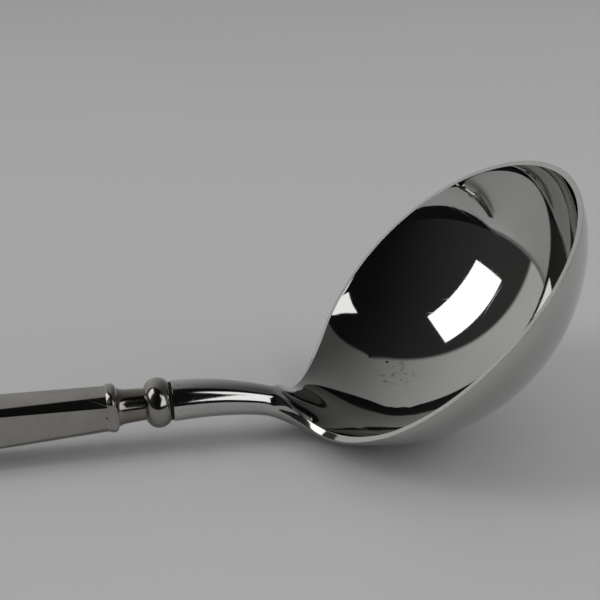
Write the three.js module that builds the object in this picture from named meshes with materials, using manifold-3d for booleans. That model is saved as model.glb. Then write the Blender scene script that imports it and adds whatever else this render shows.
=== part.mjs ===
// Gravy ladle with a hollow handle. A mirror-polished bowl is drawn out into a bent neck and a tang, and the
// tang is cemented into an eight-sided handle: two pressed shells soldered together behind a turned collar.
// Millimetres. The ladle lies on a table as it is put down, with +Z up and +X from the butt to the bowl's tip.
import * as THREE from 'three';
import { mergeVertices } from 'three/addons/utils/BufferGeometryUtils.js';
import Module from 'manifold-3d';

// Bowl: a dish under an oval rim, whose sides stand a little higher than its two ends.
// The reach and the rise go from the joint to the middle of the rim, along and square to the handle's axis.
const BOWL_WIDTH = 62;
const BOWL_LENGTH = 61.5;
const BOWL_DEPTH = 21.2;
const BOWL_FULLNESS = 1.435; // power of the dish's curve: 1 is an ellipse, 2 a parabola
const BOWL_WALL = 1;
const RIM_ARCH = 1.4;
const BOWL_PITCH = 43.1; // degrees, from the handle's axis up to the rim's plane
const BOWL_REACH = 48.1;
const BOWL_RISE = 14.5;

// Neck: a round bar, bent down in one arc, whose sides flare into the rim at two shoulders.
const NECK_JOINT_DIAMETER = 7.1;
const NECK_DIAMETER = 5.7;
const NECK_LENGTH = 17;
const NECK_STRAIGHT = 1.5; // before the bend
const NECK_BEND_RADIUS = 55;
const SHOULDER_WIDTH = 34; // across the rim, where the shoulders run into it

// The turn, halfway along the shoulders, where the round neck opens into the dish. The reaches go from the joint
// along the handle's axis, and the drops from the axis down.
const TURN_REACH = 23.5;
const TURN_WIDTH = 13;
const TURN_DROP = 3.4;
const TURN_LIP = 0.7; // across the edge, from the dish's side to the outside
const TURN_EDGE = 1.3; // the edge's fall over that width
const THROAT_REACH = 25.6; // the top's middle
const THROAT_DROP = 3.2;
const HEEL_REACH = 25.5; // the underside's middle
const HEEL_DROP = 9;
const HEEL_FULLNESS = 0.8; // power of the underside's curve at the heel

// Tang: a flat-sided bar, drawn out behind the neck.
const TANG_LENGTH = 64;
const TANG_WIDTH = 4;
const TANG_THICKNESS = 2.8;
const TANG_TIP_WIDTH = 2.8;
const TANG_TIP_THICKNESS = 2;

// Collar: a bead next to the neck, a hollow waist, a round block, and a spigot inside the handle.
const COLLAR_LENGTH = 10.8;
const BEAD_DIAMETER = 8.85;
const BEAD_ROUND = 2.5; // radius of the bead's outline
const BEAD_SETBACK = 1.95; // from the collar's front to the fullest part of the bead
const WAIST_DIAMETER = 5.95;
const WAIST_RISE = 1.2; // height and length of the hollow curve from the waist up to the block
const WAIST_RUN = 3.8;
const BLOCK_DIAMETER = 8.75;
const BLOCK_LENGTH = 1.9;
const BLOCK_EDGE = 0.35;
const SPIGOT_DIAMETER = 5;
const SPIGOT_LENGTH = 4;

// Handle: an eight-sided tube that grows steadily to a closed butt. The bevels narrow behind the collar.
const HANDLE_LENGTH = 92;
const HANDLE_WALL = 0.8;
const COLLAR_END_WIDTH = 7;
const COLLAR_END_HEIGHT = 6.85;
const COLLAR_END_BEVEL = 1.4;
const BEVEL = 1;
const BEVEL_RUN = 18;
const BUTT_WIDTH = 9.8;
const BUTT_HEIGHT = 11;
const BUTT_CHAMFER = 1.2;
const BUTT_WALL = 1.6;

// Joints between the pieces
const FIT = 0.1; // gap between neighbours
const SEAL_THICKNESS = 0.3;
const SEAL_INSET = 0.15; // the seal lies this much below the neck
const SOLDER_THICKNESS = 0.2;

// Fineness of the curved faces
const HALF_RING = 24;
const NECK_STEPS = 8;
const SHOULDER_STEPS = 12;
const BOWL_STEPS = 26;
const TURNED_SIDES = 40;
const ARC_STEPS = 8;
const TIP_ANGLE = THREE.MathUtils.degToRad(3); // where the last ring closes the bowl's tip
const BOWL_LEAD = THREE.MathUtils.degToRad(12); // round the rim, to find the bowl's direction
const NECK_LEAD = 0.5; // share of the neck, to find its underside's direction

const wasm = await Module();
wasm.setup();

// Places along the handle's axis, from the joint face of the neck at 0 back to the butt
const sealFront = -FIT;
const sealBack = sealFront - SEAL_THICKNESS;
const collarFront = sealBack - FIT;
const collarBack = collarFront - COLLAR_LENGTH;
const solderFront = collarBack - FIT;
const solderBack = solderFront - SOLDER_THICKNESS;
const shellFront = solderBack - FIT;
const buttEnd = shellFront - HANDLE_LENGTH;
const tangTip = -TANG_LENGTH;

// A closed mesh over rings of points that follow each other along +X, each running from +Y over the top.
function loft(rings) {
  const count = rings[0].length;
  const centre = (ring) => ring.reduce((sum, point) => sum.add(point), new THREE.Vector3()).divideScalar(count);
  const last = rings.length - 1;
  const points = [...rings.flat(), centre(rings[0]), centre(rings[last])];
  const startPole = points.length - 2;
  const endPole = points.length - 1;
  const triangles = [];
  for (let i = 0; i < count; i++) {
    const j = (i + 1) % count;
    triangles.push(startPole, j, i, endPole, last * count + i, last * count + j);
    for (let r = 0; r < last; r++) {
      const here = r * count;
      const next = here + count;
      triangles.push(here + i, here + j, next + j, here + i, next + j, next + i);
    }
  }
  const geometry = new THREE.BufferGeometry().setFromPoints(points);
  geometry.setIndex(triangles);
  return geometry;
}

// A geometry as a solid that can be cut, and a solid back as a geometry.
function solid(geometry) {
  const bare = geometry.clone();
  bare.deleteAttribute('normal');
  bare.deleteAttribute('uv');
  const merged = mergeVertices(bare);
  const vertProperties = new Float32Array(merged.attributes.position.array);
  const triVerts = new Uint32Array(merged.index.array);
  return new wasm.Manifold(new wasm.Mesh({ numProp: 3, vertProperties, triVerts }));
}

function geometryOf(manifold) {
  const mesh = manifold.getMesh();
  const geometry = new THREE.BufferGeometry();
  geometry.setAttribute('position', new THREE.BufferAttribute(mesh.vertProperties, mesh.numProp));
  geometry.setIndex(new THREE.BufferAttribute(mesh.triVerts, 1));
  return geometry;
}

function piece(name, geometry, color, roughness, metalness) {
  const mesh = new THREE.Mesh(geometry, new THREE.MeshStandardMaterial({ color, roughness, metalness }));
  mesh.name = name;
  geometry.computeVertexNormals();
  return mesh;
}

// One ring of the bowl, neck or tang. Its upper half arches between the inner edges over or under the top
// point, and its lower half between the outer edges under the bottom point. dish and hull are the powers of the
// two curves, and lip goes from 0, where the halves share their edges, to 1, where the edges are apart.
function ring({ inner, outer, top, bottom }, dish = 1, hull = 1, lip = 0) {
  const margin = (1 - lip) * Math.PI / (2 * HALF_RING);
  const half = (edge, crown, power) => Array.from({ length: HALF_RING }, (_, i) => {
    const angle = margin + (Math.PI - 2 * margin) * i / (HALF_RING - 1);
    const point = edge.clone().lerp(crown, Math.sin(angle) ** power);
    point.y = edge.y * Math.cos(angle);
    return point;
  });
  return [...half(inner, top, dish), ...half(outer, bottom, hull).reverse()];
}

// The four guide points of a round or oval bar's ring, square to its direction.
function barGuides(centre, direction, halfWidth, halfThickness) {
  const up = new THREE.Vector3(-direction.z, 0, direction.x);
  const edge = centre.clone().setY(halfWidth);
  return {
    inner: edge,
    outer: edge,
    top: centre.clone().addScaledVector(up, halfThickness),
    bottom: centre.clone().addScaledVector(up, -halfThickness),
  };
}

function tangGuides(x, clearance) {
  const share = x / tangTip;
  const halfWidth = THREE.MathUtils.lerp(TANG_WIDTH, TANG_TIP_WIDTH, share) / 2 + clearance;
  const halfThickness = THREE.MathUtils.lerp(TANG_THICKNESS, TANG_TIP_THICKNESS, share) / 2 + clearance;
  return barGuides(new THREE.Vector3(x, 0, 0), new THREE.Vector3(1, 0, 0), halfWidth, halfThickness);
}

// The neck at a share of its length, from 0 at the joint to 1 at the shoulders.
function neckTurn(share) {
  return Math.max(0, share * NECK_LENGTH - NECK_STRAIGHT) / NECK_BEND_RADIUS;
}

function neckDirection(share) {
  const turn = neckTurn(share);
  return new THREE.Vector3(Math.cos(turn), 0, -Math.sin(turn));
}

function neckGuides(share) {
  const turn = neckTurn(share);
  const bend = new THREE.Vector3(Math.sin(turn), 0, Math.cos(turn) - 1).multiplyScalar(NECK_BEND_RADIUS);
  const centre = bend.setX(bend.x + Math.min(NECK_STRAIGHT, share * NECK_LENGTH));
  const radius = THREE.MathUtils.lerp(NECK_JOINT_DIAMETER, NECK_DIAMETER, share) / 2;
  return barGuides(centre, neckDirection(share), radius, radius);
}

// The guide points of the bowl's ring at an angle round the rim, from 0 at the tip to pi at the neck.
const pitch = THREE.MathUtils.degToRad(BOWL_PITCH);
const toHandle = new THREE.Matrix4().makeRotationY(-pitch).setPosition(BOWL_REACH, 0, BOWL_RISE);

function bowlGuides(angle) {
  const rim = RIM_ARCH * Math.sin(angle) ** 2;
  const fall = Math.sin(angle) ** BOWL_FULLNESS;
  const place = (setIn, halfWidth, z) =>
    new THREE.Vector3((BOWL_LENGTH / 2 - setIn) * Math.cos(angle), halfWidth, z).applyMatrix4(toHandle);
  return {
    inner: place(BOWL_WALL, (BOWL_WIDTH / 2 - BOWL_WALL) * Math.sin(angle), rim),
    outer: place(0, BOWL_WIDTH / 2 * Math.sin(angle), rim),
    top: place(BOWL_WALL, 0, rim - (BOWL_DEPTH - BOWL_WALL) * fall),
    bottom: place(0, 0, rim - BOWL_DEPTH * fall),
  };
}

// The shoulders: each guide point runs on a curve that comes along the neck, passes the turn and goes on along
// the bowl.
const shoulderAngle = Math.PI - Math.asin(SHOULDER_WIDTH / BOWL_WIDTH);
const turnGuides = {
  inner: new THREE.Vector3(TURN_REACH, TURN_WIDTH / 2 - TURN_LIP, -TURN_DROP),
  outer: new THREE.Vector3(TURN_REACH, TURN_WIDTH / 2, -TURN_DROP - TURN_EDGE),
  top: new THREE.Vector3(THROAT_REACH, 0, -THROAT_DROP),
  bottom: new THREE.Vector3(HEEL_REACH, 0, -HEEL_DROP),
};

function shoulderGuides(share) {
  const beyond = bowlGuides(shoulderAngle - BOWL_LEAD);
  const stations = [neckGuides(NECK_LEAD), neckGuides(1), turnGuides, bowlGuides(shoulderAngle), beyond];
  const along = THREE.MathUtils.lerp(1 / 4, 3 / 4, share);
  const rail = (guide) => new THREE.CatmullRomCurve3(stations.map((station) => station[guide]));
  return Object.fromEntries(Object.keys(turnGuides).map((guide) => [guide, rail(guide).getPoint(along)]));
}

function bowlAndNeck() {
  const rings = [ring(tangGuides(tangTip, 0)), ring(tangGuides(0, 0))];
  for (let i = 0; i < NECK_STEPS; i++) {
    rings.push(ring(neckGuides(i / NECK_STEPS)));
  }
  for (let i = 0; i < SHOULDER_STEPS; i++) {
    const share = i / SHOULDER_STEPS;
    const lip = THREE.MathUtils.smoothstep(share, 0, 1);
    const dish = THREE.MathUtils.lerp(1, BOWL_FULLNESS, lip);
    const heel = THREE.MathUtils.lerp(1, HEEL_FULLNESS, THREE.MathUtils.smoothstep(share, 0, 1 / 2));
    const hull = THREE.MathUtils.lerp(heel, BOWL_FULLNESS, THREE.MathUtils.smoothstep(share, 1 / 2, 1));
    rings.push(ring(shoulderGuides(share), dish, hull, lip));
  }
  for (let i = 0; i <= BOWL_STEPS; i++) {
    const angle = THREE.MathUtils.lerp(shoulderAngle, TIP_ANGLE, i / BOWL_STEPS);
    rings.push(ring(bowlGuides(angle), BOWL_FULLNESS, BOWL_FULLNESS, 1));
  }
  return loft(rings);
}

// A turned piece: a closed outline of radius against height, spun round the handle's axis.
function turned(outline) {
  const geometry = new THREE.LatheGeometry(outline.getPoints(ARC_STEPS), TURNED_SIDES);
  return geometry.rotateZ(-Math.PI / 2);
}

function jointSeal() {
  const outside = NECK_JOINT_DIAMETER / 2 - SEAL_INSET;
  const bore = TANG_WIDTH / 2 + FIT;
  const outline = new THREE.Path();
  outline.moveTo(bore, sealBack);
  outline.lineTo(outside, sealBack);
  outline.lineTo(outside, sealFront);
  outline.lineTo(bore, sealFront);
  outline.closePath();
  return turned(outline);
}

function collar() {
  const bore = TANG_WIDTH / 2 + FIT;
  const waist = WAIST_DIAMETER / 2;
  const block = BLOCK_DIAMETER / 2;
  const blockFront = collarBack + BLOCK_LENGTH;
  const beadCentre = BEAD_DIAMETER / 2 - BEAD_ROUND;
  const beadPlace = collarFront - BEAD_SETBACK;
  const waistTurn = -Math.acos((waist - beadCentre) / BEAD_ROUND);
  const frontTurn = Math.asin(BEAD_SETBACK / BEAD_ROUND);
  const outline = new THREE.Path();
  outline.moveTo(bore, collarBack - SPIGOT_LENGTH);
  outline.lineTo(SPIGOT_DIAMETER / 2, collarBack - SPIGOT_LENGTH);
  outline.lineTo(SPIGOT_DIAMETER / 2, collarBack);
  outline.lineTo(block - BLOCK_EDGE, collarBack);
  outline.quadraticCurveTo(block, collarBack, block, collarBack + BLOCK_EDGE);
  outline.lineTo(block, blockFront - BLOCK_EDGE);
  outline.quadraticCurveTo(block, blockFront, block - BLOCK_EDGE, blockFront);
  outline.lineTo(waist + WAIST_RISE, blockFront);
  outline.quadraticCurveTo(waist, blockFront, waist, blockFront + WAIST_RUN);
  outline.absarc(beadCentre, beadPlace, BEAD_ROUND, waistTurn, frontTurn, false);
  outline.lineTo(bore, collarFront);
  outline.closePath();
  return turned(outline);
}

// An eight-sided ring of the handle, square to its axis, from +Y over the top.
function octagon(x, width, height, bevel) {
  const side = width / 2;
  const top = height / 2;
  const quarter = [[side, top - bevel], [side - bevel, top]];
  const upper = [...quarter, ...quarter.map(([y, z]) => [-y, z]).reverse()];
  const outline = [...upper, ...upper.map(([y, z]) => [-y, -z])];
  return outline.map(([y, z]) => new THREE.Vector3(x, y, z));
}

// The handle's section at a place on its axis, set in evenly from the outside.
function handleRing(x, setIn) {
  const share = (shellFront - x) / HANDLE_LENGTH;
  const width = THREE.MathUtils.lerp(COLLAR_END_WIDTH, BUTT_WIDTH, share) - 2 * setIn;
  const height = THREE.MathUtils.lerp(COLLAR_END_HEIGHT, BUTT_HEIGHT, share) - 2 * setIn;
  const run = THREE.MathUtils.clamp((shellFront - x) / BEVEL_RUN, 0, 1);
  const bevel = THREE.MathUtils.lerp(COLLAR_END_BEVEL, BEVEL, run) - (2 - Math.SQRT2) * setIn;
  return octagon(x, width, height, bevel);
}

const bevelEnd = shellFront - BEVEL_RUN;
const cavityEnd = buttEnd + BUTT_WALL;

// The closed tube that the two shells and their seam are parts of.
function handleTube() {
  const outside = loft([
    handleRing(buttEnd, BUTT_CHAMFER),
    handleRing(buttEnd + BUTT_CHAMFER, 0),
    handleRing(bevelEnd, 0),
    handleRing(shellFront, 0),
  ]);
  const cavity = loft([
    handleRing(cavityEnd, HANDLE_WALL),
    handleRing(bevelEnd, HANDLE_WALL),
    handleRing(shellFront + FIT, HANDLE_WALL),
  ]);
  return solid(outside).subtract(solid(cavity));
}

// A slab across the whole handle between two heights.
function slab(low, high) {
  const box = new THREE.BoxGeometry(2 * HANDLE_LENGTH, 2 * BUTT_WIDTH, high - low);
  return solid(box.translate((shellFront + buttEnd) / 2, 0, (low + high) / 2));
}

function collarSolder() {
  const width = COLLAR_END_WIDTH - HANDLE_WALL;
  const height = COLLAR_END_HEIGHT - HANDLE_WALL;
  const plate = loft([
    octagon(solderBack, width, height, COLLAR_END_BEVEL),
    octagon(solderFront, width, height, COLLAR_END_BEVEL),
  ]);
  const bore = SPIGOT_DIAMETER / 2 + FIT;
  const hole = new THREE.CylinderGeometry(bore, bore, 2 * SOLDER_THICKNESS, TURNED_SIDES);
  hole.rotateZ(Math.PI / 2).translate((solderFront + solderBack) / 2, 0, 0);
  return geometryOf(solid(plate).subtract(solid(hole)));
}

// Cement from the spigot to the end of the cavity, moulded round the tang.
function handleFiller() {
  const front = collarBack - SPIGOT_LENGTH - FIT;
  const cement = loft([
    handleRing(cavityEnd + FIT, HANDLE_WALL + FIT),
    handleRing(bevelEnd, HANDLE_WALL + FIT),
    handleRing(front, HANDLE_WALL + FIT),
  ]);
  const socket = loft([
    ring(tangGuides(tangTip - FIT, FIT)),
    ring(tangGuides(front + FIT, FIT)),
  ]);
  return geometryOf(solid(cement).subtract(solid(socket)));
}

const bowl = bowlAndNeck();
const tube = handleTube();
const seamHalf = SOLDER_THICKNESS / 2;
const parting = seamHalf + FIT;
const upperShell = geometryOf(tube.intersect(slab(parting, BUTT_HEIGHT)));
const lowerShell = geometryOf(tube.intersect(slab(-BUTT_HEIGHT, -parting)));
const seamSolder = geometryOf(tube.intersect(slab(-seamHalf, seamHalf)));

const ladle = new THREE.Group();
ladle.add(
  piece('bowl_and_neck', bowl, 0xd4d5d3, 0.06, 1),
  piece('joint_seal', jointSeal(), 0x0d0c0b, 0.7, 0),
  piece('collar', collar(), 0xa9a8a2, 0.2, 1),
  piece('collar_solder', collarSolder(), 0x9d9b94, 0.35, 1),
  piece('handle_shell_upper', upperShell, 0xa6a59d, 0.26, 1),
  piece('handle_shell_lower', lowerShell, 0xa6a59d, 0.26, 1),
  piece('handle_seam_solder', seamSolder, 0xa2a199, 0.3, 1),
  piece('handle_filler', handleFiller(), 0x8d8577, 0.95, 0),
);

// Laid down: the handle turns until the butt's lower edge and the bowl's underside are level, and the middle
// of the whole ladle's underside comes to the origin.
const contact = new THREE.Vector3(buttEnd + BUTT_CHAMFER, 0, -BUTT_HEIGHT / 2);
const vertex = new THREE.Vector3();
const slopes = Array.from({ length: bowl.attributes.position.count }, (_, i) => {
  vertex.fromBufferAttribute(bowl.attributes.position, i).sub(contact);
  return Math.atan2(vertex.z, vertex.x);
});
ladle.rotation.y = Math.min(...slopes);
ladle.updateMatrixWorld(true);
const extent = new THREE.Box3().setFromObject(ladle, true);
const middle = extent.getCenter(new THREE.Vector3());
ladle.position.set(-middle.x, -middle.y, -extent.min.z);

export default ladle;
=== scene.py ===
import math

import bmesh
import bpy
from mathutils import Matrix, Vector


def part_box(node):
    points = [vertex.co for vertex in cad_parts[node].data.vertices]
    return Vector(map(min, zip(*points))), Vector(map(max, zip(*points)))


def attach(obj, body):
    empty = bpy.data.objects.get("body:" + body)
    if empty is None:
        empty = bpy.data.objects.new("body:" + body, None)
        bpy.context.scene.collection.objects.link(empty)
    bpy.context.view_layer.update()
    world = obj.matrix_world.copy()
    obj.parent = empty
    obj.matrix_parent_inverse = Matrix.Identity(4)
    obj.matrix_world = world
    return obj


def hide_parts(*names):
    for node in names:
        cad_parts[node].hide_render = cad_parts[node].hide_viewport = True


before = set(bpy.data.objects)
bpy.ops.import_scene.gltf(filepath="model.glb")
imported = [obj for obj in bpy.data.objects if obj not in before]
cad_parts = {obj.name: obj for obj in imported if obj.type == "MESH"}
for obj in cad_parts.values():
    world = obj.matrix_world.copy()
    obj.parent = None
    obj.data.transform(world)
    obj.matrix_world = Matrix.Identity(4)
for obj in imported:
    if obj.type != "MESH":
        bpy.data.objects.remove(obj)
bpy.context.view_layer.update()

# Bowl and neck: one forging of stainless steel, polished to a mirror inside and out. The round bowl is drawn
# up into two creased shoulders and a bent neck. A tang behind the neck is cemented into the handle.
MM = 0.001
BOWL_WIDTH = 62
BOWL_LENGTH = 61.5
BOWL_DEPTH = 21.2
BOWL_FULLNESS = 1.435
RIM_EASE = 0.1
BOWL_WALL = 1
RIM_ARCH = 1.4
BOWL_PITCH = math.radians(43.1)
BOWL_REACH = 48.1
BOWL_RISE = 14.5
NECK_JOINT_DIAMETER = 7.27
NECK_DIAMETER = 5.37
NECK_TAPER = 1.3
NECK_LENGTH = 17
NECK_STRAIGHT = 1.5
NECK_BEND_RADIUS = 55
NECK_EDGE = 0.12
SHOULDER_WIDTH = 48.2
SHOULDER_ANGLE = math.pi - math.asin(SHOULDER_WIDTH / BOWL_WIDTH)
SHOULDER_SWEEP = math.radians(6)
SHOULDER_SPANS = 7
SHOULDER_SMOOTHING = 0.16
SMOOTHING_STEPS = 4
SECTION_SWEEPS = 3
DISH_START = 0.29
DISH_END = 0.43
HULL_START = 0.34
HULL_END = 0.71
HEEL_FULLNESS = 0.8
LIP_EDGE = 0.14
TANG_LENGTH = 64
TANG_WIDTH = 4
TANG_THICKNESS = 2.8
TANG_INSET = 1.1
HALF_RING = 34
NECK_RINGS = 10
SHOULDER_RINGS = 35
BOWL_RINGS = 28
TIP_ANGLES = (2, 0.9, 0)
SUBDIVISIONS = 2
LEAST_SPAN = 0.0001
WELD = 0.001

# Each station between neck and bowl has four guide points: the inner and outer edge of the lip, and the
# middle of the inside and of the underside.
BROW_GUIDES = {
    "inner": Vector((20.5, 4.45, -2.78)),
    "outer": Vector((20.3, 4.8, -3.5)),
    "top": Vector((19.05, 0, -0.12)),
    "bottom": Vector((21.3, 0, -7.1)),
}
CREASE_GUIDES = {
    "inner": Vector((21, 4.75, -2.9)),
    "outer": Vector((20.75, 5.2, -3.75)),
    "top": Vector((19.65, 0, -0.5)),
    "bottom": Vector((22.3, 0, -7.6)),
}
TURN_GUIDES = {
    "inner": Vector((23.1, 6.6, -3.55)),
    "outer": Vector((22.4, 7, -4.4)),
    "top": Vector((26, 0, -4.9)),
    "bottom": Vector((25.5, 0, -9)),
}
SHOULDER_GUIDES = {
    "inner": Vector((26.2, 11.8, -4.4)),
    "outer": Vector((25.4, 12.3, -5.35)),
    "top": Vector((31.5, 0, -7.3)),
    "bottom": Vector((30, 0, -9.35)),
}

# The ladle's own frame is in millimetres, with the joint between neck and collar at its origin and the
# handle along -X.
SEAL_SETBACK = 0.25
seal_low, seal_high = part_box("joint_seal")
seam_low, seam_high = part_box("handle_seam_solder")
seal_middle = (seal_low + seal_high) / 2
along = (seal_middle - (seam_low + seam_high) / 2).normalized()
lie = Matrix((along, (0, 1, 0), (-along.z, 0, along.x))).transposed().to_4x4()
lie.translation = seal_middle + along * SEAL_SETBACK * MM
LADLE_TO_ROW = lie @ Matrix.Scale(MM, 4)


def start_piece(name, add_primitive, **sizes):
    bpy.ops.object.select_all(action="DESELECT")
    add_primitive(**sizes)
    piece = bpy.context.object
    piece.name = name
    piece.data.name = name
    return piece


def lay_in_row(piece, smooth_angle):
    piece.data.transform(LADLE_TO_ROW)
    bpy.ops.object.select_all(action="DESELECT")
    piece.select_set(True)
    bpy.context.view_layer.objects.active = piece
    bpy.ops.object.shade_smooth_by_angle(angle=math.radians(smooth_angle))


def seat(piece, node):
    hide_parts(node)
    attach(piece, "root")


def blend(start, end, share):
    return start + (end - start) * share


def ease(low, high, value):
    share = min(max((value - low) / (high - low), 0), 1)
    return share * share * (3 - 2 * share)


def neck_guides(share):
    turn = max(0, share * NECK_LENGTH - NECK_STRAIGHT) / NECK_BEND_RADIUS
    middle = Vector((math.sin(turn), 0, math.cos(turn) - 1)) * NECK_BEND_RADIUS
    middle.x += min(NECK_STRAIGHT, share * NECK_LENGTH)
    radius = blend(NECK_JOINT_DIAMETER, NECK_DIAMETER, share**NECK_TAPER) / 2
    side = middle + Vector((0, radius, 0))
    up = Vector((math.sin(turn), 0, math.cos(turn))) * radius
    return {"inner": side, "outer": side, "top": middle + up, "bottom": middle - up}


def bowl_fall(share):
    power = BOWL_FULLNESS / 2
    lost = RIM_EASE**BOWL_FULLNESS
    return ((share**2 + RIM_EASE**2) ** power - lost) / ((1 + RIM_EASE**2) ** power - lost)


def bowl_section(angle):
    def section(turn):
        return bowl_fall(math.sin(angle) * math.sin(turn)) / bowl_fall(math.sin(angle))

    return section if angle > 0 else math.sin


def bowl_guides(angle):
    rim = RIM_ARCH * math.sin(angle) ** 2
    fall = bowl_fall(math.sin(angle))
    tilt = Matrix.Rotation(-BOWL_PITCH, 4, "Y")

    def guide(inset, half_width, height):
        flat = Vector(((BOWL_LENGTH / 2 - inset) * math.cos(angle), half_width, height))
        return tilt @ flat + Vector((BOWL_REACH, 0, BOWL_RISE))

    half = BOWL_WIDTH / 2
    return {
        "inner": guide(BOWL_WALL, (half - BOWL_WALL) * math.sin(angle), rim),
        "outer": guide(0, half * math.sin(angle), rim),
        "top": guide(BOWL_WALL, 0, rim - (BOWL_DEPTH - BOWL_WALL) * fall),
        "bottom": guide(0, 0, rim - BOWL_DEPTH * fall),
    }


def curve_through(before, start, end, after, share):
    pairs = ((before, start), (start, end), (end, after))
    first, middle, last = [max((b - a).length, LEAST_SPAN) ** 0.5 for a, b in pairs]
    leave = (start - before) / first - (end - before) / (first + middle) + (end - start) / middle
    arrive = (end - start) / middle - (after - start) / (middle + last) + (after - end) / last
    square, cube = share**2, share**3
    return (
        start * (2 * cube - 3 * square + 1)
        + leave * middle * (cube - 2 * square + share)
        + end * (3 * square - 2 * cube)
        + arrive * middle * (cube - square)
    )


def along_stations(stations, share):
    place = share * SHOULDER_SPANS
    first = min(int(place), SHOULDER_SPANS - 1)
    return curve_through(*stations[first : first + 4], place - first)


# The first and the last station only lead the curve in and out. Past the dish's start the curve is smoothed,
# so that the polished throat mirrors without kinks.
def shoulder_guides(share):
    stations = [neck_guides(0.5), neck_guides(1), BROW_GUIDES, CREASE_GUIDES, TURN_GUIDES, SHOULDER_GUIDES]
    stations += [bowl_guides(SHOULDER_ANGLE + SHOULDER_SWEEP * step) for step in (2, 1, 0, -1)]
    reach = min(SHOULDER_SMOOTHING * ease(DISH_START, DISH_END, share), 1 - share)

    def flowing(line):
        places = [station[line] for station in stations]
        total = Vector()
        for step in range(-SMOOTHING_STEPS, SMOOTHING_STEPS + 1):
            weight = SMOOTHING_STEPS + 1 - abs(step)
            total += along_stations(places, share + reach * step / SMOOTHING_STEPS) * weight
        return total / (SMOOTHING_STEPS + 1) ** 2

    return {line: flowing(line) for line in TURN_GUIDES}


def ring_turns(lip):
    margin = (1 - lip) * math.pi / (2 * HALF_RING)
    step = (math.pi - 2 * margin) / (HALF_RING - 1)
    turns = [margin + step * index for index in range(HALF_RING)]
    turns.insert(1, margin + step / 2)
    turns.insert(-1, math.pi - margin - step / 2)
    return turns


def half_ring(edge, crown, section, turns):
    points = []
    for turn in turns:
        point = edge.lerp(crown, section(turn))
        point.y = edge.y * math.cos(turn)
        points.append(point)
    return points


def close_ring(inside, outside):
    outside = outside[::-1]
    shares = (LIP_EDGE, 1 - LIP_EDGE)
    far_lip = [inside[-1].lerp(outside[0], share) for share in shares]
    near_lip = [outside[-1].lerp(inside[0], share) for share in shares]
    return inside + far_lip + outside + near_lip


def neck_ring(share):
    guides = neck_guides(share)
    turns = ring_turns(0)
    inside = half_ring(guides["inner"], guides["top"], math.sin, turns)
    return close_ring(inside, half_ring(guides["outer"], guides["bottom"], math.sin, turns))


def bowl_ring(angle):
    guides = bowl_guides(angle)
    section = bowl_section(angle)
    turns = ring_turns(1)
    inside = half_ring(guides["inner"], guides["top"], section, turns)
    return close_ring(inside, half_ring(guides["outer"], guides["bottom"], section, turns))


def shoulder_ring(share):
    guides = shoulder_guides(share)
    turns = ring_turns(ease(0, 1, share))
    heel = blend(1, HEEL_FULLNESS, ease(0, HULL_START, share))
    sweeps = min(SHOULDER_SPANS * (1 - share), SECTION_SWEEPS)
    bowl_share = bowl_section(SHOULDER_ANGLE + SHOULDER_SWEEP * sweeps)

    def dish(turn):
        return blend(math.sin(turn), bowl_share(turn), ease(DISH_START, DISH_END, share))

    def hull(turn):
        return blend(max(math.sin(turn), 0) ** heel, bowl_share(turn), ease(HULL_START, HULL_END, share))

    inside = half_ring(guides["inner"], guides["top"], dish, turns)
    return close_ring(inside, half_ring(guides["outer"], guides["bottom"], hull, turns))


def bowl_and_neck_rings():
    shares = [0, NECK_EDGE / NECK_LENGTH] + [step / NECK_RINGS for step in range(1, NECK_RINGS)]
    rings = [neck_ring(share) for share in shares]
    rings += [shoulder_ring(step / SHOULDER_RINGS) for step in range(SHOULDER_RINGS)]
    angles = [SHOULDER_ANGLE * (1 - step / BOWL_RINGS) for step in range(BOWL_RINGS)]
    angles += [math.radians(degrees) for degrees in TIP_ANGLES]
    return rings + [bowl_ring(angle) for angle in angles]


rings = bowl_and_neck_rings()
around = len(rings[0])
bowl = start_piece(
    "polished_bowl_and_neck",
    bpy.ops.mesh.primitive_grid_add,
    x_subdivisions=len(rings) - 1,
    y_subdivisions=around,
    size=1,
)
for vertex in bowl.data.vertices:
    ring = rings[round((vertex.co.x + 0.5) * (len(rings) - 1))]
    vertex.co = ring[round((vertex.co.y + 0.5) * around) % around]
bpy.ops.object.mode_set(mode="EDIT")
bpy.ops.mesh.select_all(action="SELECT")
bpy.ops.mesh.remove_doubles(threshold=WELD)
bpy.ops.mesh.select_all(action="DESELECT")
bpy.ops.mesh.select_mode(type="EDGE")
bpy.ops.mesh.select_non_manifold()
bpy.ops.mesh.edge_face_add()
bpy.ops.mesh.select_mode(type="FACE")
bpy.ops.mesh.inset(thickness=NECK_EDGE)
bpy.ops.mesh.inset(thickness=TANG_INSET)
bore = NECK_JOINT_DIAMETER - 2 * (NECK_EDGE + TANG_INSET)
bpy.ops.transform.resize(value=(1, TANG_WIDTH / bore, TANG_THICKNESS / bore), center_override=(0, 0, 0))
bpy.ops.mesh.extrude_region_move(TRANSFORM_OT_translate={"value": (-TANG_LENGTH, 0, 0)})
bpy.ops.mesh.inset(thickness=NECK_EDGE)
bpy.ops.mesh.select_all(action="SELECT")
bpy.ops.mesh.normals_make_consistent(inside=False)
bpy.ops.object.mode_set(mode="OBJECT")
rounding = bowl.modifiers.new("rounding", "SUBSURF")
rounding.levels = SUBDIVISIONS
rounding.render_levels = SUBDIVISIONS
bpy.ops.object.modifier_apply(modifier=rounding.name)
lay_in_row(bowl, smooth_angle=60)
seat(bowl, "bowl_and_neck")


def put(tree, kind, sockets=None, **settings):
    node = tree.nodes.new("ShaderNode" + kind)
    for name, value in settings.items():
        setattr(node, name, value)
    for name, value in (sockets or {}).items():
        if isinstance(value, bpy.types.NodeSocket):
            tree.links.new(value, node.inputs[name])
        else:
            node.inputs[name].default_value = value
    return node


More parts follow.
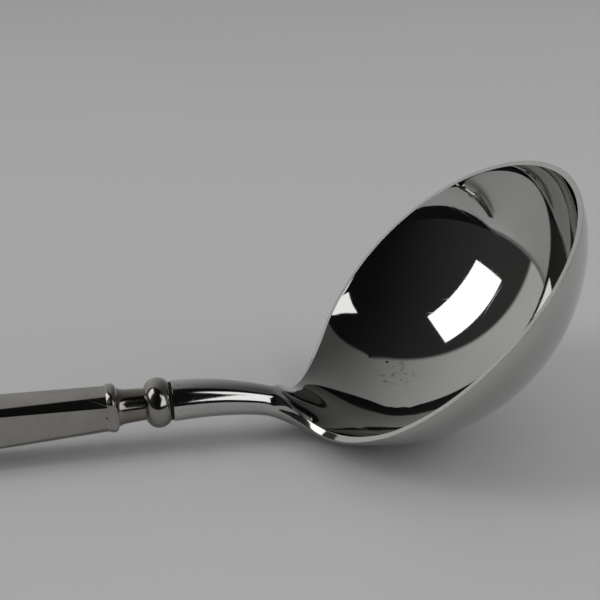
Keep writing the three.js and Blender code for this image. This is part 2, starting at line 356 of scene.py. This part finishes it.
def start_group(name, inputs, outputs):
    group = bpy.data.node_groups.new(name, "ShaderNodeTree")
    for label, kind in inputs.items():
        group.interface.new_socket(label, in_out="INPUT", socket_type="NodeSocket" + kind)
    for label, kind in outputs.items():
        group.interface.new_socket(label, in_out="OUTPUT", socket_type="NodeSocket" + kind)
    start = group.nodes.new("NodeGroupInput").outputs
    end = group.nodes.new("NodeGroupOutput").inputs
    return group, start, end


def start_material(name):
    material = bpy.data.materials.new(name)
    material.use_nodes = True
    tree = material.node_tree
    place = put(tree, "TexCoord").outputs["Object"]
    return material, tree, tree.nodes["Principled BSDF"], place


def fade(tree, value, low, high, out_low=0.0, out_high=1.0):
    ramp = put(
        tree,
        "MapRange",
        {"Value": value, "From Min": low, "From Max": high, "To Min": out_low, "To Max": out_high},
        interpolation_type="SMOOTHSTEP",
    )
    return ramp.outputs["Result"]


def mix_colours(tree, share, first, second):
    return put(tree, "Mix", {0: share, 6: first, 7: second}, data_type="RGBA").outputs[2]


def math_of(tree, operation, first, second):
    return put(tree, "Math", {0: first, 1: second}, operation=operation).outputs[0]


def hairline_scratches():
    group, start, end = start_group(
        "hairline_scratches",
        {"Vector": "Vector", "Lines per metre": "Float", "Patch size": "Float"},
        {"Mask": "Float"},
    )
    wander = put(group, "TexNoise", {"Vector": start["Vector"], "Scale": 30.0, "Detail": 1.0})
    wobble = put(group, "VectorMath", {0: wander.outputs["Color"], "Scale": 0.004}, operation="SCALE")
    bent = put(group, "VectorMath", {0: start["Vector"], 1: wobble.outputs[0]}, operation="ADD")
    strokes = []
    for index, direction in enumerate(((0.35, 0.9, 0.25), (-0.75, 0.45, 0.5), (0.1, -0.4, 0.9))):
        across = put(group, "VectorMath", {0: bent.outputs[0], 1: direction}, operation="DOT_PRODUCT")
        count = math_of(group, "MULTIPLY", across.outputs["Value"], start["Lines per metre"])
        line = put(group, "TexNoise", {"W": count, "Scale": 1.0, "Detail": 2.0}, noise_dimensions="1D")
        patch = put(
            group,
            "TexNoise",
            {"Vector": bent.outputs[0], "W": float(index), "Scale": start["Patch size"], "Detail": 1.0},
            noise_dimensions="4D",
        )
        thin = fade(group, line.outputs["Fac"], 0.66, 0.74)
        broken = fade(group, patch.outputs["Fac"], 0.52, 0.66)
        strokes.append(math_of(group, "MULTIPLY", thin, broken))
    some = math_of(group, "MAXIMUM", strokes[0], strokes[1])
    group.links.new(math_of(group, "MAXIMUM", some, strokes[2]), end["Mask"])
    return group


def handling_haze():
    group, start, end = start_group(
        "handling_haze",
        {"Vector": "Vector", "Scale": "Float"},
        {"Mask": "Float"},
    )
    cloud = put(
        group,
        "TexNoise",
        {
            "Vector": start["Vector"],
            "Scale": start["Scale"],
            "Detail": 5.0,
            "Roughness": 0.6,
            "Distortion": 0.7,
        },
    )
    group.links.new(fade(group, cloud.outputs["Fac"], 0.4, 0.75), end["Mask"])
    return group


def group_mask(tree, group, sockets):
    return put(tree, "Group", sockets, node_tree=group).outputs["Mask"]


def near(tree, place, spot, radius):
    away = put(tree, "VectorMath", {0: place, 1: Vector(spot) * MM}, operation="DISTANCE").outputs["Value"]
    return fade(tree, away, radius * MM, radius * MM / 2)


def small_dots(tree, place, density):
    cells = put(tree, "TexVoronoi", {"Vector": place, "Scale": density, "Randomness": 1.0})
    return fade(tree, cells.outputs["Distance"], 0.24, 0.1)


SCRATCHES = hairline_scratches()
HAZE = handling_haze()

# The marks of use on the steel are placed in the frame that the ladle lies in, in millimetres.
STEEL_COLOUR = (0.53, 0.53, 0.515, 1)
STEEL_FILM_COLOUR = (0.49, 0.485, 0.465, 1)
DIRT_COLOUR = (0.09, 0.08, 0.07, 1)
NECK_WEAR_START = 32
NECK_WEAR_END = 45
NECK_ROUGHNESS = 0.045
PIT_START = 18
PIT_END = 28
RESIDUE_SPOT = (59.3, 10.5, 3.8)
RESIDUE_RADIUS = 4.5
DRIED_SPECKS = ((55.7, 15.8, 5.6), (58.6, 14, 5.1))
SPECK_RADIUS = 0.4
WATER_SPOT = (83.8, 0.5, 21)
WATER_RADIUS = 6


def polished_steel():
    material, tree, shader, place = start_material("mirror_polished_steel")
    lines = group_mask(tree, SCRATCHES, {"Vector": place, "Lines per metre": 2600.0, "Patch size": 55.0})
    haze = group_mask(tree, HAZE, {"Vector": place, "Scale": 38.0})
    film = mix_colours(tree, haze, STEEL_COLOUR, STEEL_FILM_COLOUR)
    noise = put(tree, "TexNoise", {"Vector": place, "Scale": 900.0, "Detail": 3.0}).outputs["Fac"]
    crumbs = fade(tree, noise, 0.52, 0.66, 0, 0.5)
    dirt = math_of(tree, "MULTIPLY", near(tree, place, RESIDUE_SPOT, RESIDUE_RADIUS), crumbs)
    for speck in DRIED_SPECKS:
        dirt = math_of(tree, "MAXIMUM", dirt, near(tree, place, speck, SPECK_RADIUS))
    wet = near(tree, place, WATER_SPOT, WATER_RADIUS)
    drops = math_of(tree, "MULTIPLY", wet, small_dots(tree, place, 1500.0))
    dirt = math_of(tree, "MAXIMUM", dirt, math_of(tree, "MULTIPLY", drops, 0.5))
    length = put(tree, "SeparateXYZ", {"Vector": place}).outputs["X"]
    near_joint = fade(tree, length, PIT_END * MM, PIT_START * MM, 0, 0.6)
    pits = math_of(tree, "MULTIPLY", small_dots(tree, place, 1300.0), near_joint)
    dirt = math_of(tree, "MAXIMUM", dirt, pits)
    soiled = mix_colours(tree, dirt, film, DIRT_COLOUR)
    worn_neck = fade(tree, length, NECK_WEAR_END * MM, NECK_WEAR_START * MM, 0, NECK_ROUGHNESS)
    polish = math_of(tree, "ADD", fade(tree, haze, 0, 1, 0.03, 0.055), worn_neck)
    marks = math_of(tree, "MULTIPLY", math_of(tree, "ADD", lines, dirt), 0.05)
    bump = put(tree, "Bump", {"Height": lines, "Strength": 0.04, "Distance": 0.02 * MM})
    tree.links.new(soiled, shader.inputs["Base Color"])
    tree.links.new(math_of(tree, "ADD", polish, marks), shader.inputs["Roughness"])
    tree.links.new(bump.outputs["Normal"], shader.inputs["Normal"])
    shader.inputs["Metallic"].default_value = 1.0
    return material


bowl.data.materials.append(polished_steel())


# Joint seal: dark cement squeezed out between the neck's end and the collar, and wiped off just below the
# surface. It shows as a thin black line round the joint.
def grainy_material(name, colours, roughness, grain, detail, bump_strength, bump_depth, metallic=0.0):
    material, tree, shader, place = start_material(name)
    noise = put(tree, "TexNoise", {"Vector": place, "Scale": grain, "Detail": detail}).outputs["Fac"]
    bump = put(tree, "Bump", {"Height": noise, "Strength": bump_strength, "Distance": bump_depth * MM})
    tree.links.new(mix_colours(tree, noise, *colours), shader.inputs["Base Color"])
    tree.links.new(fade(tree, noise, 0.3, 0.7, *roughness), shader.inputs["Roughness"])
    tree.links.new(bump.outputs["Normal"], shader.inputs["Normal"])
    shader.inputs["Metallic"].default_value = metallic
    return material


def dress_node(name, material):
    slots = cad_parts[name].data.materials
    slots.clear()
    slots.append(material)


DARK_CEMENT = grainy_material(
    "dark_joint_cement",
    colours=((0.004, 0.004, 0.004, 1), (0.02, 0.018, 0.015, 1)),
    roughness=(0.6, 0.9),
    grain=2500.0,
    detail=3.0,
    bump_strength=0.5,
    bump_depth=0.05,
)
dress_node("joint_seal", DARK_CEMENT)

# Collar: a turned ring of plated nickel brass that covers the joint. A fat bead lies next to the neck, and a
# hollow waist sweeps up into a block that is milled flat at its sides and below, with four bevels that run
# out on it. A spigot behind the block centres the handle.
COLLAR_FRONT = -0.5
COLLAR_LENGTH = 10.8
COLLAR_BACK = COLLAR_FRONT - COLLAR_LENGTH
COLLAR_BORE = 4.2
BEAD_DIAMETER = 8.85
BEAD_ROUND = 2.5
BEAD_SETBACK = 1.95
WAIST_DIAMETER = 5.6
BLOCK_DIAMETER = 8.6
BLOCK_EDGE = 0.3
BLOCK_FLAT = 0.9
FLANK_RUN = 0.9
FLANK_DROP = 0.72
FLANK_ROUND = 0.55
SWEEP_RUN = 1.4
SWEEP_LEAN = 0.2
SWEEP_DROP = 0.41
SWEEP_DIAMETER = 6
COLLAR_END_WIDTH = 7
COLLAR_END_HEIGHT = 6.85
COLLAR_END_BEVEL = 1.4
BEVEL_STOP = 0.45
SPIGOT_DIAMETER = 5
SPIGOT_LENGTH = 4
LATHE_STEPS = 128
CURVE_STEPS = 12
BEAD_STEPS = 28


def swung(start, corner, end):
    for step in range(1, CURVE_STEPS + 1):
        share = step / CURVE_STEPS
        yield start.lerp(corner, share).lerp(corner.lerp(end, share), share)


def at(place, radius):
    return Vector((place, 0, radius))


def block_outline():
    spigot = SPIGOT_DIAMETER / 2
    block = BLOCK_DIAMETER / 2
    points = [at(COLLAR_BACK - SPIGOT_LENGTH, COLLAR_BORE / 2), at(COLLAR_BACK - SPIGOT_LENGTH, spigot)]
    points += [at(COLLAR_BACK, spigot), at(COLLAR_BACK, block - BLOCK_EDGE)]
    points += swung(points[-1], at(COLLAR_BACK, block), at(COLLAR_BACK + BLOCK_EDGE, block))
    brow = at(COLLAR_BACK + BLOCK_FLAT, block)
    foot = brow + Vector((FLANK_RUN, 0, -FLANK_DROP))
    points += [brow] + list(swung(brow, brow + Vector((FLANK_ROUND, 0, 0)), foot))
    corner = foot + Vector((SWEEP_LEAN, 0, -SWEEP_DROP))
    return points + list(swung(foot, corner, at(foot.x + SWEEP_RUN, SWEEP_DIAMETER / 2)))


def bead_outline(start, end):
    middle = BEAD_DIAMETER / 2 - BEAD_ROUND
    place = COLLAR_FRONT - BEAD_SETBACK
    rear_turn = -math.acos((WAIST_DIAMETER / 2 - middle) / BEAD_ROUND)
    front_turn = math.asin(BEAD_SETBACK / BEAD_ROUND)
    points = [start]
    for step in range(BEAD_STEPS + 1):
        turn = blend(rear_turn, front_turn, step / BEAD_STEPS)
        points.append(at(place + BEAD_ROUND * math.sin(turn), middle + BEAD_ROUND * math.cos(turn)))
    return points + [at(COLLAR_FRONT, COLLAR_BORE / 2), end]


def turn_on_lathe(outline):
    bpy.ops.mesh.select_mode(type="VERT")
    bpy.ops.mesh.select_all(action="SELECT")
    bpy.ops.mesh.merge(type="CENTER")
    bpy.ops.transform.translate(value=outline[0])
    for here, there in zip(outline, outline[1:]):
        bpy.ops.mesh.extrude_vertices_move(TRANSFORM_OT_translate={"value": there - here})
    bpy.ops.mesh.select_all(action="SELECT")
    bpy.ops.mesh.spin(steps=LATHE_STEPS, angle=math.tau, center=(0, 0, 0), axis=(1, 0, 0))
    bpy.ops.mesh.select_all(action="SELECT")
    bpy.ops.mesh.remove_doubles(threshold=WELD)


def mill_flat(reach, facing):
    bpy.ops.mesh.select_all(action="SELECT")
    across = Vector((0, facing[1], facing[2])).normalized()
    touch = Vector((COLLAR_BACK, 0, 0)) + across * reach
    bpy.ops.mesh.bisect(plane_co=touch, plane_no=facing, use_fill=True, clear_outer=True)


block = block_outline()
collar = start_piece("turned_collar", bpy.ops.mesh.primitive_plane_add, size=1)
bpy.ops.object.mode_set(mode="EDIT")
turn_on_lathe(block)
bevel_reach = (COLLAR_END_WIDTH / 2 + COLLAR_END_HEIGHT / 2 - COLLAR_END_BEVEL) / math.sqrt(2)
for side in (1, -1):
    mill_flat(COLLAR_END_WIDTH / 2, (0, side, 0))
    for rise in (1, -1):
        mill_flat(bevel_reach, (-BEVEL_STOP, side * math.sqrt(0.5), rise * math.sqrt(0.5)))
mill_flat(COLLAR_END_HEIGHT / 2, (0, 0, -1))
bpy.ops.mesh.select_all(action="SELECT")
bpy.ops.mesh.hide()
bpy.ops.mesh.primitive_plane_add(size=1)
turn_on_lathe(bead_outline(block[-1], block[0]))
bpy.ops.mesh.reveal()
bpy.ops.mesh.select_all(action="SELECT")
bpy.ops.mesh.remove_doubles(threshold=WELD)
bpy.ops.mesh.normals_make_consistent(inside=False)
bpy.ops.object.mode_set(mode="OBJECT")
lay_in_row(collar, smooth_angle=40)
seat(collar, "collar")

WAIST_PLACE = 9.2
TARNISH_CORE = 1.5
TARNISH_REACH = 3.5
PLATE_COLOUR = (0.36, 0.35, 0.325, 1)
TARNISH_COLOUR = (0.24, 0.225, 0.2, 1)
PLATE_PIT_COLOUR = (0.08, 0.075, 0.065, 1)
PLATE_GLOSS = 0.13
PLATE_DULLNESS = 0.2


def worn_plate(name):
    material, tree, shader, place = start_material(name)
    lines = group_mask(tree, SCRATCHES, {"Vector": place, "Lines per metre": 3000.0, "Patch size": 70.0})
    haze = group_mask(tree, HAZE, {"Vector": place, "Scale": 90.0})
    drawn = put(tree, "Mapping", {"Vector": place, "Scale": (60.0, 2200.0, 2200.0)}).outputs[0]
    streaks = put(tree, "TexNoise", {"Vector": drawn, "Scale": 1.0, "Detail": 3.0}).outputs["Fac"]
    cells = put(tree, "TexVoronoi", {"Vector": place, "Scale": 900.0, "Randomness": 1.0})
    pits = fade(tree, cells.outputs["Distance"], 0.16, 0.05, 0, 0.5)
    length = put(tree, "SeparateXYZ", {"Vector": place}).outputs["X"]
    from_waist = math_of(tree, "ABSOLUTE", math_of(tree, "SUBTRACT", length, WAIST_PLACE * MM), 0)
    waist = fade(tree, from_waist, TARNISH_REACH * MM, TARNISH_CORE * MM)
    colour = mix_colours(tree, math_of(tree, "MAXIMUM", haze, waist), PLATE_COLOUR, TARNISH_COLOUR)
    polish = fade(tree, haze, 0, 1, PLATE_GLOSS, PLATE_DULLNESS)
    rough = math_of(tree, "ADD", polish, math_of(tree, "MULTIPLY", lines, 0.15))
    relief = math_of(tree, "ADD", math_of(tree, "MULTIPLY", streaks, 0.3), lines)
    bump = put(tree, "Bump", {"Height": relief, "Strength": 0.12, "Distance": 0.03 * MM})
    tree.links.new(mix_colours(tree, pits, colour, PLATE_PIT_COLOUR), shader.inputs["Base Color"])
    tree.links.new(rough, shader.inputs["Roughness"])
    tree.links.new(bump.outputs["Normal"], shader.inputs["Normal"])
    shader.inputs["Metallic"].default_value = 1.0
    return material


collar.data.materials.append(worn_plate("worn_collar_plate"))

# Collar solder: the ring of solder that holds the handle's shells to the back of the collar. It lies inside
# the joint and was wiped smooth while hot.
WIPED_SOLDER = grainy_material(
    "wiped_solder",
    colours=((0.4, 0.39, 0.37, 1), (0.32, 0.31, 0.28, 1)),
    roughness=(0.15, 0.3),
    grain=1200.0,
    detail=4.0,
    bump_strength=0.1,
    bump_depth=0.03,
    metallic=1.0,
)
dress_node("collar_solder", WIPED_SOLDER)

# Handle shells: two pressed halves of plated nickel brass that make an eight-sided hollow handle. It grows
# steadily from the collar to a closed, chamfered butt, and its bevels widen next to the collar.
HANDLE_GAP = 0.02
HANDLE_FRONT = COLLAR_BACK - HANDLE_GAP
HANDLE_BACK = -103.7
BEVEL = 1
BEVEL_RUN = 18
BUTT_WIDTH = 9.8
BUTT_HEIGHT = 11
BUTT_CHAMFER = 1.2
HANDLE_WALL = 0.8
PARTING = 0.1
EDGE_ROUND = 0.2
EDGE_SEGMENTS = 3
SHARP_CORNER = math.radians(20)
LONG_EDGE = 10
NEAR = 0.001
END_SLACK = 0.1


def pick(piece, kind, wanted):
    mesh = bmesh.from_edit_mesh(piece.data)
    bpy.ops.mesh.select_mode(type=kind)
    bpy.ops.mesh.select_all(action="DESELECT")
    for part in {"VERT": mesh.verts, "EDGE": mesh.edges, "FACE": mesh.faces}[kind]:
        if wanted(part):
            part.select_set(True)
    mesh.select_flush_mode()
    bmesh.update_edit_mesh(piece.data)


def runs_along(edge):
    span = edge.verts[0].co - edge.verts[1].co
    return abs(span.x) > LONG_EDGE * max(abs(span.y), abs(span.z))


def ends_at(place):
    return lambda part: all(abs(vertex.co.x - place) < NEAR for vertex in part.verts)


def handle_bar(name):
    front = (HANDLE_FRONT, 0, 0)
    back = (HANDLE_BACK, 0, 0)
    half_width = COLLAR_END_WIDTH / 2
    half_height = COLLAR_END_HEIGHT / 2
    bar = start_piece(name, bpy.ops.mesh.primitive_cube_add, size=1)
    bpy.ops.object.mode_set(mode="EDIT")
    bpy.ops.transform.resize(value=(HANDLE_FRONT - HANDLE_BACK, 1, 1))
    bpy.ops.transform.translate(value=((HANDLE_FRONT + HANDLE_BACK) / 2, 0, 0))
    pick(bar, "FACE", ends_at(HANDLE_FRONT))
    bpy.ops.transform.resize(value=(1, COLLAR_END_WIDTH, COLLAR_END_HEIGHT), center_override=front)
    pick(bar, "FACE", ends_at(HANDLE_BACK))
    bpy.ops.transform.resize(value=(1, BUTT_WIDTH, BUTT_HEIGHT), center_override=back)
    bpy.ops.mesh.select_all(action="SELECT")
    bpy.ops.mesh.bisect(plane_co=(HANDLE_FRONT - BEVEL_RUN, 0, 0), plane_no=(1, 0, 0))
    pick(bar, "EDGE", runs_along)
    bpy.ops.mesh.bevel(offset=BEVEL, offset_type="OFFSET", segments=1, affect="EDGES")
    narrower = (half_width - COLLAR_END_BEVEL) / (half_width - BEVEL)
    lower = (half_height - COLLAR_END_BEVEL) / (half_height - BEVEL)

    def at_front(vertex, place, edge):
        return abs(vertex.co.x - HANDLE_FRONT) < NEAR and abs(abs(place) - edge) < END_SLACK

    pick(bar, "VERT", lambda vertex: at_front(vertex, vertex.co.z, half_height))
    bpy.ops.transform.resize(value=(1, narrower, 1), center_override=front)
    pick(bar, "VERT", lambda vertex: at_front(vertex, vertex.co.y, half_width))
    bpy.ops.transform.resize(value=(1, 1, lower), center_override=front)
    pick(bar, "EDGE", ends_at(HANDLE_BACK))
    bpy.ops.mesh.bevel(offset=BUTT_CHAMFER, offset_type="OFFSET", segments=1, affect="EDGES")
    bpy.ops.object.mode_set(mode="OBJECT")
    return bar


def handle_shell(name, side):
    shell = handle_bar(name)
    bpy.ops.object.mode_set(mode="EDIT")
    pick(shell, "FACE", ends_at(HANDLE_FRONT))
    bpy.ops.mesh.delete(type="FACE")
    bpy.ops.mesh.select_all(action="SELECT")
    bpy.ops.mesh.bisect(plane_co=(0, 0, side * PARTING), plane_no=(0, 0, side), clear_inner=True)
    bpy.ops.object.mode_set(mode="OBJECT")
    wall = shell.modifiers.new("wall", "SOLIDIFY")
    wall.thickness = HANDLE_WALL
    wall.offset = -1
    wall.use_even_offset = True
    bpy.ops.object.modifier_apply(modifier=wall.name)
    bpy.ops.object.mode_set(mode="EDIT")

    def outer_corner(edge):
        if len(edge.link_faces) != 2 or not edge.is_convex:
            return False
        if edge.calc_face_angle() < SHARP_CORNER:
            return False
        at_front = all(v.co.x > HANDLE_FRONT - NEAR for v in edge.verts)
        at_parting = all(side * v.co.z < PARTING + NEAR for v in edge.verts)
        return not at_front and not at_parting

    pick(shell, "EDGE", outer_corner)
    bpy.ops.mesh.bevel(offset=EDGE_ROUND, segments=EDGE_SEGMENTS, affect="EDGES")
    bpy.ops.object.mode_set(mode="OBJECT")
    lay_in_row(shell, smooth_angle=25)
    return shell


HANDLE_PLATE = worn_plate("worn_handle_plate")
for name, node, side in (
    ("pressed_upper_shell", "handle_shell_upper", 1),
    ("pressed_lower_shell", "handle_shell_lower", -1),
):
    shell = handle_shell(name, side)
    shell.data.materials.append(HANDLE_PLATE)
    seat(shell, node)

# Seam solder: the thin line of solder along both sides and the butt, where the two shells meet. It was filed
# flush and plated over with them.
dress_node("handle_seam_solder", HANDLE_PLATE)

# Filler: coarse cement that was poured into the hollow handle and set round the tang. It shows only when the
# handle is taken apart.
POURED_CEMENT = grainy_material(
    "poured_cement",
    colours=((0.2, 0.17, 0.13, 1), (0.36, 0.33, 0.27, 1)),
    roughness=(0.75, 0.95),
    grain=700.0,
    detail=6.0,
    bump_strength=0.6,
    bump_depth=0.2,
)
dress_node("handle_filler", POURED_CEMENT)

# Table: a wide sheet of pale grey paper that the ladle lies on. It is faintly clouded, with a fine fibre.
TABLE_SIZE = 24
PAPER_COLOUR = (0.72, 0.714, 0.724, 1)
PAPER_CLOUD_COLOUR = (0.76, 0.754, 0.764, 1)
table = start_piece("paper_table", bpy.ops.mesh.primitive_plane_add, size=TABLE_SIZE)


def grey_paper():
    material, tree, shader, place = start_material("grey_paper")
    fibre = put(tree, "TexNoise", {"Vector": place, "Scale": 900.0, "Detail": 4.0})
    cloud = put(tree, "TexNoise", {"Vector": place, "Scale": 6.0, "Detail": 2.0})
    colour = mix_colours(tree, cloud.outputs["Fac"], PAPER_COLOUR, PAPER_CLOUD_COLOUR)
    bump = put(tree, "Bump", {"Height": fibre.outputs["Fac"], "Strength": 0.05, "Distance": 0.1 * MM})
    tree.links.new(colour, shader.inputs["Base Color"])
    tree.links.new(bump.outputs["Normal"], shader.inputs["Normal"])
    shader.inputs["Roughness"].default_value = 0.85
    shader.inputs["Specular IOR Level"].default_value = 0.2
    return material


table.data.materials.append(grey_paper())

# Light: a softbox on the left, and two fills that the metal doesn't mirror. Two bright cards in front and a
# dark flag over the near part of the table are only mirrored. The room is dark in front and pale behind, so
# that the polished bowl shows both.
BOWL_PLACE = Vector((0.07, 0.016, 0.015))
FILL_DISTANCE = 0.9
CARD_DISTANCE = 0.85
CARD_COLOUR = (0.98, 0.98, 1, 1)
CARD_STRENGTH = 1.5
FLAG_EDGE = -0.08
FLAG_HEIGHT = 0.0005
FLAG_COLOUR = (0.9, 1, 0.95, 1)
FLAG_STRENGTH = 0.008
ROOM_COLOUR = (1, 0.995, 0.99, 1)
ROOM_BACK = (0.491, 0.862, -0.079)
ROOM_LEFT = (-0.8, 0.6, 0)
WALL_FADE = (-0.5, 1.2)
WALL_RIGHT_LEVEL = 0.08
WALL_LEFT_LEVEL = 0.6
FRONT_SHARE = 0.08
FRONT_SOFTNESS = 0.03
SOFT_LEVEL = 0.22
BACKDROP_LEVEL = 0.365


def softbox(name, direction, distance, width, height, watts):
    place = BOWL_PLACE + Vector(direction).normalized() * distance
    facing = (BOWL_PLACE - place).to_track_quat("-Z", "Y").to_euler()
    bpy.ops.object.light_add(type="AREA", location=place, rotation=facing)
    lamp = bpy.context.object
    lamp.name = name
    lamp.data.shape = "RECTANGLE"
    lamp.data.size = width
    lamp.data.size_y = height
    lamp.data.energy = watts
    return lamp


softbox("left_softbox", (-0.79, 0.02, 0.615), distance=0.92, width=0.375, height=0.675, watts=1.6)
for name, direction, side, watts in (
    ("right_fill", (0.85, -0.25, 0.5), 0.7, 1.8),
    ("top_fill", (0.2, 0.1, 1), 1.4, 1.4),
):
    softbox(name, direction, FILL_DISTANCE, side, side, watts).visible_glossy = False


def stage_card(name, corners, colour, strength):
    card = start_piece(name, bpy.ops.mesh.primitive_plane_add, size=1)
    for vertex, corner in zip(card.data.vertices, corners):
        vertex.co = corner
    material = bpy.data.materials.new(name)
    material.use_nodes = True
    tree = material.node_tree
    glow = put(tree, "Emission", {"Color": colour, "Strength": strength})
    tree.links.new(glow.outputs[0], tree.nodes["Material Output"].inputs["Surface"])
    card.data.materials.append(material)
    card.visible_camera = False
    card.visible_diffuse = False
    card.visible_shadow = False


def card_corner(azimuth, elevation):
    turn = math.radians(azimuth)
    rise = math.radians(elevation)
    direction = (math.sin(turn) * math.cos(rise), -math.cos(turn) * math.cos(rise), math.sin(rise))
    return BOWL_PLACE + Vector(direction) * CARD_DISTANCE


for name, corners in (
    ("front_window", ((23, 42), (58, 30), (13.9, 61.6), (60, 34))),
    ("front_paper", ((5, 9), (55, 5), (25, 37), (58, 44))),
):
    stage_card(name, [card_corner(*corner) for corner in corners], CARD_COLOUR, CARD_STRENGTH)

half_table = TABLE_SIZE / 2
flag_sides = (-half_table, half_table)
flag_corners = [Vector((x, y, FLAG_HEIGHT)) for y in (-half_table, FLAG_EDGE) for x in flag_sides]
stage_card("black_flag", flag_corners, FLAG_COLOUR, FLAG_STRENGTH)

world = bpy.data.worlds.new("studio")
bpy.context.scene.world = world
world.use_nodes = True
sky = world.node_tree
direction = put(sky, "TexCoord").outputs["Generated"]
backwards = put(sky, "VectorMath", {0: direction, 1: ROOM_BACK}, operation="DOT_PRODUCT").outputs["Value"]
leftwards = put(sky, "VectorMath", {0: direction, 1: ROOM_LEFT}, operation="DOT_PRODUCT").outputs["Value"]
wall = fade(sky, leftwards, *WALL_FADE, WALL_RIGHT_LEVEL, WALL_LEFT_LEVEL)
room = fade(sky, backwards, -FRONT_SOFTNESS, FRONT_SOFTNESS, FRONT_SHARE, 1.0)
ray = put(sky, "LightPath").outputs
mirrored = math_of(sky, "MULTIPLY", wall, room)
spread = put(sky, "Mix", {0: ray["Is Diffuse Ray"], 2: mirrored, 3: SOFT_LEVEL}).outputs[0]
shown = put(sky, "Mix", {0: ray["Is Camera Ray"], 2: spread, 3: BACKDROP_LEVEL}).outputs[0]
sky.links.new(shown, sky.nodes["Background"].inputs["Strength"])
sky.nodes["Background"].inputs["Color"].default_value = ROOM_COLOUR

# Camera: the photograph's viewpoint, close above the near side of the neck.
CAMERA_PLACE = (0.001496, -0.18616, 0.108078)
CAMERA_DIP = math.radians(23.438)
CAMERA_TURN = math.radians(-11.305)
bpy.ops.object.camera_add(location=CAMERA_PLACE, rotation=(math.pi / 2 - CAMERA_DIP, 0, CAMERA_TURN))
camera = bpy.context.object
camera.data.lens = 72
camera.data.sensor_width = 36
camera.data.clip_start = 0.005
bpy.context.scene.camera = camera
bpy.context.scene.view_settings.view_transform = "Standard"
